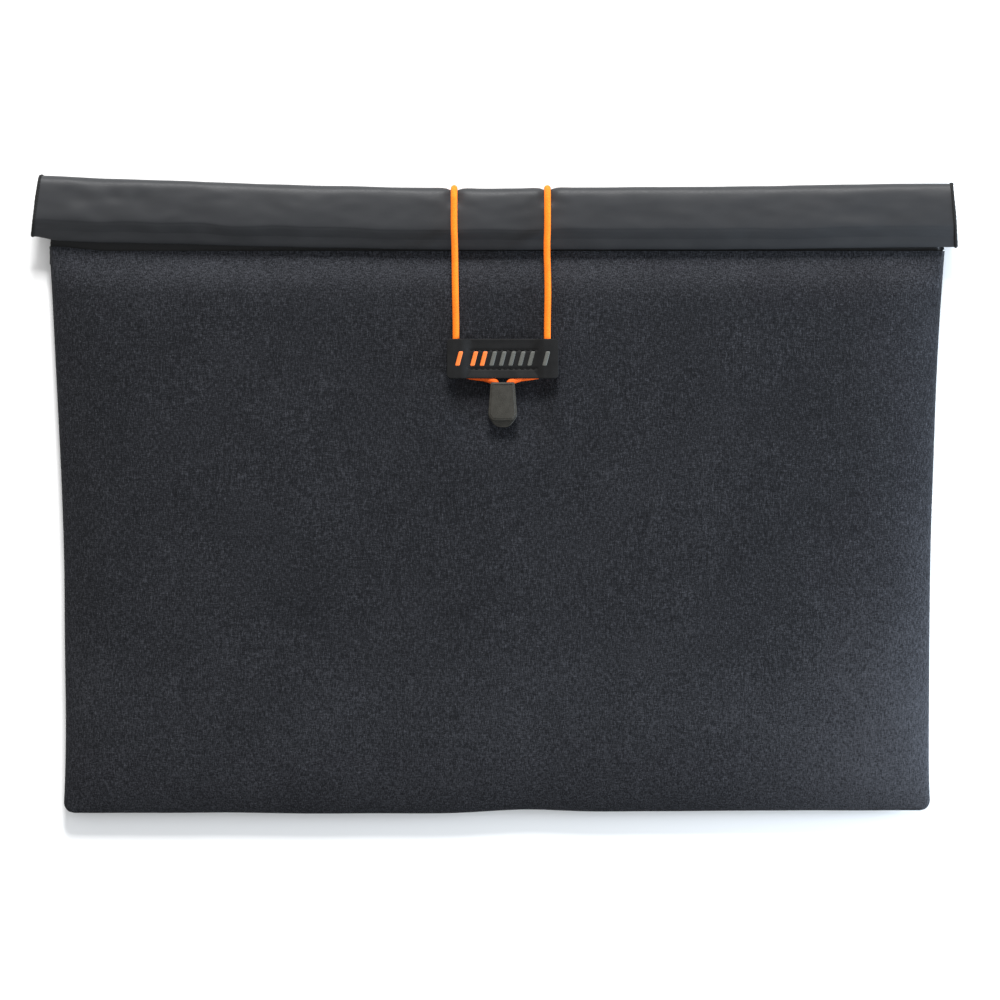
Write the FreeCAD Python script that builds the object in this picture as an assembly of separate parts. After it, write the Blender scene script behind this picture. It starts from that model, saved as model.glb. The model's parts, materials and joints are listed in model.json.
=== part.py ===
import FreeCAD, Part
import math
import os

# A roll-top fabric pouch that lies on its back. X runs across it, Y runs from its bottom
# edge to its rolled top, and Z comes out of its front. The origin is on the floor, under
# the middle of the whole pouch. Everything is in millimetres.

V = FreeCAD.Vector

# Whole pouch
LENGTH = 334.0
BOTTOM_Y = -LENGTH / 2
BODY_TOP_Y = 130.0

# Half widths of the body at a few heights above its bottom edge, left and right alike
BODY_OUTLINE = [(0.0, 225.5), (4.0, 229.5), (45.0, 228.2), (150.0, 230.6), (245.0, 233.8), (297.0, 236.6)]

# Layers of the body, each one inside the last
FABRIC = 1.2
SHIELD = 0.55
LAYER_GAP = 0.15
SEAM_Z = 7.4
TAPE = 0.7
TAPE_WIDTH = 5.0

# Front panel: a rim, then sloping sides up to a flat crown
FRONT_RIM_Z = 10.4
CROWN_Z = 18.2
CROWN_INSET = 32.0
CROWN_TOP_INSET = 36.0

# Back panel: a shelf under the cord, then the flat face that the pouch rests on
BACK_RIM_Z = 4.4
SHELF_DROP = 0.05
SHELF_LENGTH = 38.0
REST_INSET = 24.0
REST_TOP_INSET = 80.0

# Collar: a nylon ply and a shield ply on each side of a flat channel
NYLON = 0.5
COLLAR_SHIELD = 0.4
CHANNEL = 4.2
COLLAR = CHANNEL + 2 * (NYLON + COLLAR_SHIELD)
COLLAR_HALF_WIDTH = 240.0
SIDE_SEAM = 0.8

# Roll: the collar turns over at fold B, at the top, and its hem turns in at fold A
HEM_SPACE = 3.0
ROLL_TOP_HALF_WIDTH = 241.5
ROLL_LOW_HALF_WIDTH = 245.0
FOLD_B_R = (2 * COLLAR + HEM_SPACE) / 2
FOLD_B_Z = BACK_RIM_Z + FOLD_B_R
FOLD_A_R = 4.3
HEM_PLY = 0.9
HEM_CLEARANCE = 0.4
HEM_LENGTH = 11.0
STITCH = 0.3

# Elastic cord
CORD = 3.7
CORD_CLEARANCE = 0.25
CORD_BEND = FOLD_B_R + CORD_CLEARANCE + CORD / 2
FOLD_B_Y = LENGTH / 2 - CORD_BEND - CORD / 2
FOLD_A_Y = FOLD_B_Y - 22.25
CORD_FRONT_Z = FOLD_B_Z + CORD_BEND
CORD_BACK_Z = FOLD_B_Z - CORD_BEND
CORD_PATCH_Z = 20.2
CORD_TAB_Z = 21.2
LEG_ROLL_X = 24.8
LEG_PATCH_X = 24.2
LOOP_HINGE_Y = 147.5
STRAND_TOP_Y = 73.0
STRAND_CORNER_Y = 60.6
STRAND_LOW_Y = 58.2

# Closure: the rubber patch and the pull tab, both a little right of the middle
CLOSURE_X = 3.0
PATCH_LOW_Y = 62.3
PATCH_HEIGHT = 20.9
PATCH_HALF_WIDTH = 29.4
PATCH_THICK = 1.5
PATCH_CORNER = 2.0
PATCH_CENTRE_HALF = 18.2
BACKING = 1.9
BACKING_MARGIN = 2.4
EAR_HINGE_X = 18.95
EAR_RISE = 2.1
EAR_RISE_LENGTH = 2.6
STITCH_ROWS_Y = [67.5, 77.3]
STITCH_LENGTH = 1.9
STITCH_PITCH = 3.0
STITCH_COUNT = 12
MARK_BARS = 7
MARK_PITCH = 5.0
MARK_EAR_X = 22.9
MARK_WIDTH = 2.3
MARK_HEIGHT = 7.6
MARK_SLANT = 2.0

# Pull tab
TAB_TOP_Y = 60.4
TAB_FRONT_LOW_Y = 40.2
TAB_LIP_Y = 36.7
TAB_TOP_HALF = 6.35
TAB_LOW_HALF = 7.6
TAB_WIDE_Y = 43.0
TAB_BACK_Z = 18.6
TAB_SPLIT_Z = 21.2
TAB_FRONT_Z = 23.8
TAB_END_X = 2.6
TAB_CHAMFER = 2.2
TAB_WALL = 0.55
CRIMP = (9.6, 5.0, 3.4)
CRIMP_LOW_Y = 46.0

# Back anchor: a sewn patch that holds the middle of the cord in a tunnel
ANCHOR_WIDTH = 25.0
ANCHOR_HEIGHT = 22.0
ANCHOR_Y = 104.0
ANCHOR_SKIN = 0.35
ANCHOR_FLOOR_GAP = 0.05
ANCHOR_BASE_HALF = 2.8
ANCHOR_SLOPE = 2.2
ANCHOR_FLANGE = 1.1
ANCHOR_TURN_Y = 112.0
ANCHOR_CORNER_X = 18.0

os.makedirs("parts", exist_ok=True)


def save(name, shape):
    """Writes one node, and stops if it isn't sound."""
    if not shape.isValid() or shape.Volume <= 0:
        raise ValueError(name + " isn't a sound solid")
    shape.exportStep("parts/" + name + ".step")
    print(f"{name}: {len(shape.Solids)} solid(s), {shape.Volume / 1000:.3f} cm3")


def box(x0, x1, y0, y1, z0, z1):
    return Part.makeBox(x1 - x0, y1 - y0, z1 - z0, V(x0, y0, z0))


def ring(points):
    """A closed wire through the points."""
    return Part.makePolygon(points + [points[0]])


def prism(points, along):
    """A solid from a closed outline, pushed along a vector."""
    return Part.Face(ring(points)).extrude(along)


def group(shapes):
    return Part.makeCompound(shapes)


def mirrored(shape):
    """The same piece on the other side of the closure's middle line."""
    return shape.mirror(V(CLOSURE_X, 0, 0), V(1, 0, 0))


# The body


def half_width(up):
    """Half the body's width at a height above its bottom edge."""
    for (low, low_half), (high, high_half) in zip(BODY_OUTLINE, BODY_OUTLINE[1:]):
        if up <= high:
            return low_half + (high_half - low_half) * (up - low) / (high - low)
    return BODY_OUTLINE[-1][1]


def outline(z, side=0.0, low=0.0, top=0.0):
    """The body's outline at one height, moved in from its sides, bottom and top."""
    full = BODY_OUTLINE[-1][0]
    heights = [low + up * (full - low - top) / full for up, _ in BODY_OUTLINE]
    right = [V(half_width(up) - side, BOTTOM_Y + up, z) for up in heights]
    left = [V(-p.x, p.y, z) for p in reversed(right)]
    return ring(right + left)


def front_form(depth):
    """The space under the front panel's face, at a depth below that face."""
    levels = [
        outline(SEAM_Z, depth, depth, depth),
        outline(FRONT_RIM_Z - depth, depth, depth, depth),
        outline(CROWN_Z - depth, CROWN_INSET, CROWN_INSET, CROWN_TOP_INSET),
    ]
    return Part.makeLoft(levels, True, True)


def back_form(depth):
    """The space over the back panel's face, at a depth above that face."""
    levels = [
        outline(SEAM_Z, depth, depth, depth),
        outline(BACK_RIM_Z + depth, depth, depth, depth),
        outline(BACK_RIM_Z + depth - SHELF_DROP, depth, depth, SHELF_LENGTH),
        outline(depth, REST_INSET, REST_INSET, REST_TOP_INSET),
    ]
    return Part.makeLoft(levels, True, True)


def mouth():
    """The slot in the top wall of the body, where the collar's channel starts."""
    half = COLLAR_HALF_WIDTH - 2 * SIDE_SEAM - NYLON
    low = BACK_RIM_Z + NYLON + COLLAR_SHIELD
    return box(-half, half, BODY_TOP_Y - 12, BODY_TOP_Y + 1, low, low + CHANNEL)


def shell(form, depth, thickness):
    return form(depth).cut(form(depth + thickness)).cut(mouth())


def body_layers():
    first = FABRIC + LAYER_GAP
    second = first + SHIELD + LAYER_GAP
    for side, form in (("front", front_form), ("back", back_form)):
        save(side + "_panel", shell(form, 0.0, FABRIC))
        save(side + "_shield_outer", shell(form, first, SHIELD))
        save(side + "_shield_inner", shell(form, second, SHIELD))
    return second + SHIELD + LAYER_GAP


def seam_tapes(depth):
    """The tape that lies flat inside the side and bottom seams, between front and back."""
    low, high = SEAM_Z - TAPE / 2, SEAM_Z + TAPE / 2
    outer = Part.Face(outline(low, depth, depth, depth)).extrude(V(0, 0, high - low))
    hollow = depth + TAPE_WIDTH
    inner = Part.Face(outline(low, hollow, hollow, hollow)).extrude(V(0, 0, high - low))
    band = outer.cut(inner)
    wide, top, corner = 2 * COLLAR_HALF_WIDTH, BODY_TOP_Y - 15, BOTTOM_Y + 12
    save("seam_tape_left", band.common(box(-wide, 0, corner, top, low, high)))
    save("seam_tape_right", band.common(box(0, wide, corner, top, low, high)))
    save("seam_tape_bottom", band.common(box(-wide, wide, BOTTOM_Y, corner, low, high)))


# The collar and the roll


def ply(low_half, high_half, y0, y1, z0, thickness):
    """A flat layer that is as wide as low_half at y0 and as high_half at y1."""
    corners = [V(-low_half, y0, z0), V(low_half, y0, z0), V(high_half, y1, z0), V(-high_half, y1, z0)]
    return prism(corners, V(0, 0, thickness))


def side_seams(name, half, y0, y1, z0, z1):
    save(name + "_left", box(-half, -half + SIDE_SEAM, y0, y1, z0, z1))
    save(name + "_right", box(half - SIDE_SEAM, half, y0, y1, z0, z1))


def collar_layers(names, half_low, half_high, y0, y1, z0):
    """Two nylon plies and two shield plies around a channel, from the bottom up."""
    lining = min(half_low, half_high) - SIDE_SEAM
    upper = NYLON + COLLAR_SHIELD + CHANNEL
    save(names[0], ply(half_low, half_high, y0, y1, z0, NYLON))
    save(names[1], ply(lining, lining, y0, y1, z0 + NYLON, COLLAR_SHIELD))
    save(names[2], ply(lining, lining, y0, y1, z0 + upper, COLLAR_SHIELD))
    save(names[3], ply(half_low, half_high, y0, y1, z0 + upper + COLLAR_SHIELD, NYLON))


def collar():
    names = ["collar_back_ply", "collar_back_shield", "collar_front_shield", "collar_front_ply"]
    half = COLLAR_HALF_WIDTH
    collar_layers(names, half, half, BODY_TOP_Y, FOLD_B_Y, BACK_RIM_Z)
    low, high = BACK_RIM_Z + NYLON, BACK_RIM_Z + COLLAR - NYLON
    side_seams("collar_side_seam", half, BODY_TOP_Y, FOLD_B_Y, low, high)


def flap():
    names = ["flap_inner_ply", "flap_inner_shield", "flap_outer_shield", "flap_outer_ply"]
    start = FOLD_B_Z + HEM_SPACE / 2
    collar_layers(names, ROLL_LOW_HALF_WIDTH, ROLL_TOP_HALF_WIDTH, FOLD_A_Y, FOLD_B_Y, start)
    low, high = start + NYLON, start + COLLAR - NYLON
    side_seams("flap_side_seam", ROLL_TOP_HALF_WIDTH, FOLD_A_Y, FOLD_B_Y, low, high)


def half_pipe(half_width, y, z, outer, thickness, way):
    """A sheet bent round an axis along X; way is +1 where it bulges up the pouch."""
    across = V(1, 0, 0)
    start = V(-half_width, y, z)
    tube = Part.makeCylinder(outer, 2 * half_width, start, across)
    hole = Part.makeCylinder(outer - thickness, 2 * half_width, start, across)
    keep = box(-half_width, half_width, min(y, y + way * outer), max(y, y + way * outer), z - outer, z + outer)
    return tube.cut(hole).common(keep)


def folds():
    inner = HEM_SPACE / 2 + NYLON
    half = ROLL_TOP_HALF_WIDTH
    bends = [
        half_pipe(half, FOLD_B_Y, FOLD_B_Z, FOLD_B_R, NYLON, 1),
        half_pipe(half, FOLD_B_Y, FOLD_B_Z, inner, NYLON, 1),
    ]
    save("top_fold", group(bends))
    lining = [
        half_pipe(half - SIDE_SEAM, FOLD_B_Y, FOLD_B_Z, FOLD_B_R - NYLON, COLLAR_SHIELD, 1),
        half_pipe(half - SIDE_SEAM, FOLD_B_Y, FOLD_B_Z, inner + COLLAR_SHIELD, COLLAR_SHIELD, 1),
    ]
    save("top_fold_shield", group(lining))
    save("lower_fold", half_pipe(ROLL_LOW_HALF_WIDTH, FOLD_A_Y, fold_a_z(), FOLD_A_R, NYLON, -1))


def fold_a_z():
    return FOLD_B_Z + FOLD_B_R - FOLD_A_R


def hem():
    low = FOLD_B_Z - HEM_SPACE / 2 + HEM_CLEARANCE
    high = FOLD_B_Z + HEM_SPACE / 2 - HEM_CLEARANCE - HEM_PLY
    half, end = COLLAR_HALF_WIDTH, FOLD_A_Y + HEM_LENGTH
    save("hem_back_ply", ply(half, half, FOLD_A_Y, end, low, HEM_PLY))
    save("hem_front_ply", ply(half, half, FOLD_A_Y, end, high, HEM_PLY))
    row = end - 4.0
    rows = [
        box(-half + 4, half - 4, row, row + STITCH * 2, low - STITCH / 2, low),
        box(-half + 4, half - 4, row, row + STITCH * 2, high + HEM_PLY, high + HEM_PLY + STITCH / 2),
    ]
    save("hem_stitching", group(rows))


# The cord


def path(route):
    """A wire of straight runs joined by tangent arcs. route is (point, radius) pairs."""
    edges, radii = [], []
    here = route[0][0]
    for (before, _), (corner, radius), (after, _) in zip(route, route[1:], route[2:]):
        to_before, to_after = (before - corner).normalize(), (after - corner).normalize()
        turn = math.pi - to_before.getAngle(to_after)
        shorter = min((before - corner).Length, (after - corner).Length)
        radius = radius or 0.45 * shorter / math.tan(turn / 2)
        reach = radius * math.tan(turn / 2)
        start, end = corner + to_before * reach, corner + to_after * reach
        middle = (to_before + to_after).normalize()
        centre = corner + middle * (radius / math.cos(turn / 2))
        if (start - here).Length > 1e-6:
            edges.append(Part.LineSegment(here, start).toShape())
        edges.append(Part.Arc(start, centre - middle * radius, end).toShape())
        here = end
        radii.append(round(radius, 1))
    edges.append(Part.LineSegment(here, route[-1][0]).toShape())
    return Part.Wire(edges), radii


def tube(name, route):
    """The cord along one stretch of its route, with its radii and volume printed."""
    wire, radii = path(route)
    start, ahead = route[0][0], route[1][0] - route[0][0]
    circle = Part.Wire(Part.Circle(start, ahead, CORD / 2).toShape())
    solid = wire.makePipeShell([circle], True, False)
    share = solid.Volume / (math.pi * CORD ** 2 / 4 * wire.Length)
    print(f"{name}: radii {radii} mm, {wire.Length:.1f} mm long, volume share {share:.3f}")
    return solid


def both(name, shape):
    save(name + "_left", shape)
    save(name + "_right", mirrored(shape))


def left(across, y, z):
    """A point on the left side, counted from the closure's middle line."""
    return V(CLOSURE_X - across, y, z)


def cord_back_run():
    """Down the back from the roll, through the anchor, and up again."""
    start = left(LEG_ROLL_X, FOLD_B_Y, CORD_BACK_Z)
    side = left(LEG_ROLL_X, ANCHOR_TURN_Y, CORD_BACK_Z)
    low = left(ANCHOR_CORNER_X, ANCHOR_Y, CORD_BACK_Z)
    turns = [V(2 * CLOSURE_X - p.x, p.y, p.z) for p in (low, side, start)]
    route = [(p, None) for p in [start, side, low] + turns]
    save("cord_back_run", tube("cord_back_run", route))


def cord_over_roll():
    """Half round the roll's top edge, as far as the point where the loop lifts."""
    top = FOLD_B_Y + CORD_BEND
    route = [
        (left(LEG_ROLL_X, FOLD_B_Y, CORD_BACK_Z), None),
        (left(LEG_ROLL_X, top, CORD_BACK_Z), CORD_BEND - 1e-4),
        (left(LEG_ROLL_X, top, CORD_FRONT_Z), CORD_BEND - 1e-4),
        (left(LEG_ROLL_X, LOOP_HINGE_Y, CORD_FRONT_Z), None),
    ]
    both("cord_over_roll", tube("cord_over_roll", route))


def cord_leg():
    """Down the front, over the roll's face and on to the patch."""
    route = [
        (left(LEG_ROLL_X, LOOP_HINGE_Y, CORD_FRONT_Z), None),
        (left(LEG_ROLL_X, 127.0, CORD_FRONT_Z), None),
        (left(LEG_PATCH_X, 92.0, CORD_PATCH_Z), None),
        (left(LEG_PATCH_X, STRAND_TOP_Y, CORD_PATCH_Z), None),
    ]
    both("cord_leg", tube("cord_leg", route))


def cord_strand():
    """From behind the patch's ear to the crimp inside the pull tab."""
    route = [
        (left(LEG_PATCH_X, STRAND_TOP_Y, CORD_PATCH_Z), None),
        (left(LEG_PATCH_X, STRAND_CORNER_Y, CORD_PATCH_Z), None),
        (left(TAB_END_X, STRAND_LOW_Y, CORD_TAB_Z), None),
        (left(TAB_END_X, CRIMP_LOW_Y + CRIMP[1], CORD_TAB_Z), None),
    ]
    both("cord_strand", tube("cord_strand", route))


# The closure on the front


def stitches(rows, z):
    """Short raised threads in rows across the patch."""
    first = CLOSURE_X - (STITCH_COUNT * STITCH_PITCH - (STITCH_PITCH - STITCH_LENGTH)) / 2
    threads = []
    for y in rows:
        for n in range(STITCH_COUNT):
            x = first + n * STITCH_PITCH
            threads.append(box(x, x + STITCH_LENGTH, y - STITCH, y + STITCH, z, z + STITCH))
    return group(threads)


def patch():
    top = PATCH_LOW_Y + PATCH_HEIGHT
    x0, x1 = CLOSURE_X - PATCH_CENTRE_HALF, CLOSURE_X + PATCH_CENTRE_HALF
    low, base = PATCH_LOW_Y + BACKING_MARGIN, CROWN_Z + BACKING
    save("patch_backing", box(x0 + 0.7, x1 - 0.7, low, top - BACKING_MARGIN, CROWN_Z, base))
    save("patch_centre", box(x0, x1, PATCH_LOW_Y, top, base, base + PATCH_THICK))
    save("patch_stitches", stitches(STITCH_ROWS_Y, base + PATCH_THICK))
    face = base + PATCH_THICK
    places = [(n - (MARK_BARS - 1) / 2) * MARK_PITCH for n in range(MARK_BARS)]
    save("patch_mark", group([mark_bar(CLOSURE_X + x, face) for x in places]))
    save("patch_mark_left", mark_bar(CLOSURE_X - MARK_EAR_X, face + EAR_RISE))
    save("patch_mark_right", mark_bar(CLOSURE_X + MARK_EAR_X, face + EAR_RISE))


def mark_bar(x, z):
    """One slanted raised bar of the mark, across the middle of the patch."""
    middle, reach = PATCH_LOW_Y + PATCH_HEIGHT / 2, MARK_HEIGHT / 2
    low, high = x - (MARK_WIDTH + MARK_SLANT) / 2, x - (MARK_WIDTH - MARK_SLANT) / 2
    corners = [
        V(low, middle - reach, z),
        V(low + MARK_WIDTH, middle - reach, z),
        V(high + MARK_WIDTH, middle + reach, z),
        V(high, middle + reach, z),
    ]
    return prism(corners, V(0, 0, STITCH))


def patch_ear():
    """A free end of the patch, which rises over the cord and turns on a rounded root."""
    base = CROWN_Z + BACKING
    half = PATCH_THICK / 2
    root = EAR_HINGE_X
    end, flat = PATCH_HALF_WIDTH, root + EAR_RISE_LENGTH
    lift = base + EAR_RISE
    profile = [
        left(root, PATCH_LOW_Y, base),
        left(flat, PATCH_LOW_Y, lift),
        left(end, PATCH_LOW_Y, lift),
        left(end, PATCH_LOW_Y, lift + PATCH_THICK),
        left(flat - half / 2, PATCH_LOW_Y, lift + PATCH_THICK),
        left(root, PATCH_LOW_Y, base + PATCH_THICK),
    ]
    up = V(0, PATCH_HEIGHT, 0)
    knuckle = Part.makeCylinder(half, PATCH_HEIGHT, left(root, PATCH_LOW_Y, base + half), V(0, 1, 0))
    ear = prism(profile, up).fuse(knuckle).removeSplitter()
    ends = [e for e in ear.Edges if abs(e.CenterOfMass.x - left(end, 0, 0).x) < 1e-6]
    corners = [e for e in ends if abs(e.Length - PATCH_THICK) < 1e-6]
    both("patch_ear", ear.makeFillet(PATCH_CORNER, corners))


def tab_outline(low_y, chamfer, z):
    """The tab's face: narrow where the cord goes in, wider below, with cut corners."""
    right = [
        V(CLOSURE_X + TAB_TOP_HALF, TAB_TOP_Y, z),
        V(CLOSURE_X + TAB_LOW_HALF, TAB_WIDE_Y, z),
        V(CLOSURE_X + TAB_LOW_HALF - chamfer, low_y, z),
    ]
    return right + [V(2 * CLOSURE_X - p.x, p.y, z) for p in reversed(right)]


def pull_tab():
    depth = TAB_SPLIT_Z - TAB_BACK_Z
    back = prism(tab_outline(TAB_LIP_Y, 2 * TAB_CHAMFER, TAB_BACK_Z), V(0, 0, depth))
    height = TAB_FRONT_Z - TAB_SPLIT_Z
    front = prism(tab_outline(TAB_FRONT_LOW_Y, TAB_CHAMFER, TAB_SPLIT_Z), V(0, 0, height))
    wide, tall, thick = CRIMP
    room = 0.4
    hollow = box(
        CLOSURE_X - wide / 2 - room, CLOSURE_X + wide / 2 + room,
        CRIMP_LOW_Y - room, CRIMP_LOW_Y + tall + room,
        CORD_TAB_Z - thick / 2 - room, CORD_TAB_Z + thick / 2 + room,
    )
    ways = cord_slot()
    crimp = box(
        CLOSURE_X - wide / 2, CLOSURE_X + wide / 2, CRIMP_LOW_Y, CRIMP_LOW_Y + tall,
        CORD_TAB_Z - thick / 2, CORD_TAB_Z + thick / 2,
    )
    save("tab_back", back.cut(hollow).cut(ways))
    save("tab_front", front.cut(hollow).cut(ways))
    save("cord_crimp", crimp)


def cord_slot():
    """The way for the two strands, in at the tab's top and down to the crimp."""
    low_z, high_z = CORD_TAB_Z - CORD / 2 - CORD_CLEARANCE, CORD_TAB_Z + CORD / 2 + CORD_CLEARANCE
    low, half = CRIMP_LOW_Y + CRIMP[1], TAB_TOP_HALF - TAB_WALL
    wide = TAB_LOW_HALF
    mouth_low = low + 3.0
    mouth_part = box(CLOSURE_X - wide, CLOSURE_X + wide, mouth_low, TAB_TOP_Y + 1, low_z, high_z)
    neck = box(CLOSURE_X - half, CLOSURE_X + half, low, mouth_low + TAB_WALL, low_z, high_z)
    return mouth_part.fuse(neck)


# The back anchor


def back_anchor():
    """A patch sewn under the back panel, with a tunnel for the cord across its middle."""
    x0, y = CLOSURE_X - ANCHOR_WIDTH / 2, ANCHOR_Y
    side, base, foot = ANCHOR_HEIGHT / 2, ANCHOR_BASE_HALF, ANCHOR_BASE_HALF + ANCHOR_SLOPE
    flange = BACK_RIM_Z - ANCHOR_FLANGE
    low, high = ANCHOR_FLOOR_GAP, BACK_RIM_Z - SHELF_DROP
    across = [(-side, high), (-side, flange), (-foot, flange), (-base, low)]
    right = [(-up, z) for up, z in reversed(across)]
    hat = prism([V(x0, y + up, z) for up, z in across + right], V(ANCHOR_WIDTH, 0, 0))
    clear = CORD / 2 + CORD_CLEARANCE / 2
    tunnel = box(x0, x0 + ANCHOR_WIDTH, y - clear, y + clear, low + ANCHOR_SKIN, high)
    save("back_anchor", hat.cut(tunnel))
    rows = []
    for up in (-side + 2, side - 2):
        z = flange - STITCH
        rows.append(box(x0 + 2, x0 + ANCHOR_WIDTH - 2, y + up - STITCH, y + up + STITCH, z, flange))
    save("anchor_stitches", group(rows))


body_depth = body_layers()
seam_tapes(body_depth)
collar()
flap()
folds()
hem()
cord_back_run()
cord_over_roll()
cord_leg()
cord_strand()
patch()
patch_ear()
pull_tab()
back_anchor()
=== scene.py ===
import json
import math

import bpy
import numpy as np
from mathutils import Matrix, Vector, noise


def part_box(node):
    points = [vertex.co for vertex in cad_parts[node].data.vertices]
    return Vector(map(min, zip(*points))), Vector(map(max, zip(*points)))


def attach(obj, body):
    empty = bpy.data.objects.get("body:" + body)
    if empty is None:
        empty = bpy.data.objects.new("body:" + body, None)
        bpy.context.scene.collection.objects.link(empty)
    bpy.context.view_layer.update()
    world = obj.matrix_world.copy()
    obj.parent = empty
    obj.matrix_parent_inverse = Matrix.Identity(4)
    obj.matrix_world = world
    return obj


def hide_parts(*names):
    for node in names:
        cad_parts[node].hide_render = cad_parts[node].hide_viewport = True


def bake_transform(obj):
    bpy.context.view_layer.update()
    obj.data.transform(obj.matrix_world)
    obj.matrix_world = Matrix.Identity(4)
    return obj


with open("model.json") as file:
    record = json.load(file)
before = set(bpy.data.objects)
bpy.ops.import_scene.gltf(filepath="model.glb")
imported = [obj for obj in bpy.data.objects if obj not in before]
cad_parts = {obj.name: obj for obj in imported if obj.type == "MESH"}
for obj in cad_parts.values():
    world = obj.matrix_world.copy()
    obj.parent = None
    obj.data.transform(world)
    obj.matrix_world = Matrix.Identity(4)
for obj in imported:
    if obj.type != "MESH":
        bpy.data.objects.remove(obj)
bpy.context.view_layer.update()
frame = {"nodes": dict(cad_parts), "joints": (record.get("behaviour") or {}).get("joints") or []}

# A roll-top fabric pouch on its back. Lengths below are in millimetres, and MM turns them
# into the scene's metres. X runs across, Y up to the rolled top, Z out of the front. In a name
# or a pair of values, left is the side of lower X and comes first.
MM = 0.001


def node_box(node):
    """A CAD node's lowest and highest corner, in millimetres."""
    low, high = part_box(node)
    return np.array(low) / MM, np.array(high) / MM


def joint_at(name):
    """A hinge's place, in millimetres."""
    found = next(j for j in frame["joints"] if j["name"] == name)
    return np.array(found["pos_m"]) / MM


# ---------------------------------------------------------------- the camera

VIEW_WIDTH = 530.0
VIEW_DISTANCE = 3000.0
VIEW_CENTRE = (1.6, -1.6)
SENSOR_WIDTH = 36.0


def make_camera():
    """Straight down onto the pouch's front, with its rolled top up."""
    data = bpy.data.cameras.new("camera")
    data.sensor_width = SENSOR_WIDTH
    data.lens = SENSOR_WIDTH * VIEW_DISTANCE / VIEW_WIDTH
    data.clip_end = 20.0
    camera = bpy.data.objects.new("camera", data)
    camera.location = (VIEW_CENTRE[0] * MM, VIEW_CENTRE[1] * MM, VIEW_DISTANCE * MM)
    bpy.context.scene.collection.objects.link(camera)
    bpy.context.scene.camera = camera


make_camera()

# ---------------------------------------------------------------- materials


class Paint:
    """A material's node tree, with short calls for its nodes."""

    def __init__(self, name):
        self.material = bpy.data.materials.new(name)
        self.material.use_nodes = True
        self.nodes = self.material.node_tree.nodes
        self.links = self.material.node_tree.links
        self.shader = self.nodes["Principled BSDF"]

    def node(self, kind, inputs=None, **settings):
        made = self.nodes.new("ShaderNode" + kind)
        for key, value in settings.items():
            setattr(made, key, value)
        for key, value in (inputs or {}).items():
            self.set(made.inputs[key], value)
        return made

    def set(self, socket, value):
        if isinstance(value, bpy.types.NodeSocket):
            self.links.new(value, socket)
        else:
            socket.default_value = value

    def shade(self, **inputs):
        for key, value in inputs.items():
            self.set(self.shader.inputs[key.replace("_", " ")], value)

    def place(self, scale=(1, 1, 1), turn=0.0):
        """Where a point is on the object, in metres, stretched and turned about Z."""
        where = self.node("TexCoord").outputs["Object"]
        inputs = {"Vector": where, "Scale": scale, "Rotation": (0, 0, turn)}
        return self.node("Mapping", inputs).outputs["Vector"]

    def noise(self, size, stretch=(1, 1, 1), detail=3.0, turn=0.0):
        """Soft noise with features of about this size in millimetres."""
        inputs = {"Vector": self.place(stretch, turn), "Scale": 1.0 / (size * MM), "Detail": detail}
        return self.node("TexNoise", inputs).outputs["Fac"]

    def ramp(self, value, stops):
        """A colour ramp; each stop is a position and a grey level or a colour."""
        made = self.node("ValToRGB", {"Fac": value})
        marks = made.color_ramp.elements
        while len(marks) < len(stops):
            marks.new(0.5)
        for mark, (at, level) in zip(marks, stops):
            mark.position = at
            mark.color = (*level, 1) if hasattr(level, "__len__") else (level, level, level, 1)
        return made.outputs["Color"]

    def math(self, operation, a, b=0.0):
        return self.node("Math", {0: a, 1: b}, operation=operation).outputs["Value"]

    def rise(self, value, start, end, height):
        """From 0 at start to height at end, and smooth between them."""
        inputs = {"Value": value, "From Min": start, "From Max": end, "To Max": height}
        return self.node("MapRange", inputs, interpolation_type="SMOOTHSTEP").outputs["Result"]

    def bands(self, scale, direction, distortion, more=None):
        """Straight bands, for threads and ribs."""
        inputs = {"Vector": self.place(), "Scale": scale, "Distortion": distortion, **(more or {})}
        return self.node("TexWave", inputs, bands_direction=direction).outputs["Fac"]

    def mix(self, share, a, b):
        made = self.node("Mix", data_type="RGBA")
        for socket, value in zip([made.inputs[0], made.inputs[6], made.inputs[7]], [share, a, b]):
            self.set(socket, value)
        return made.outputs[2]

    def bump(self, height, depth, strength=1.0):
        """Bump of a height from 0 to 1, over a depth in millimetres."""
        inputs = {"Height": height, "Distance": depth * MM, "Strength": strength}
        return self.node("Bump", inputs).outputs["Normal"]


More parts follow.
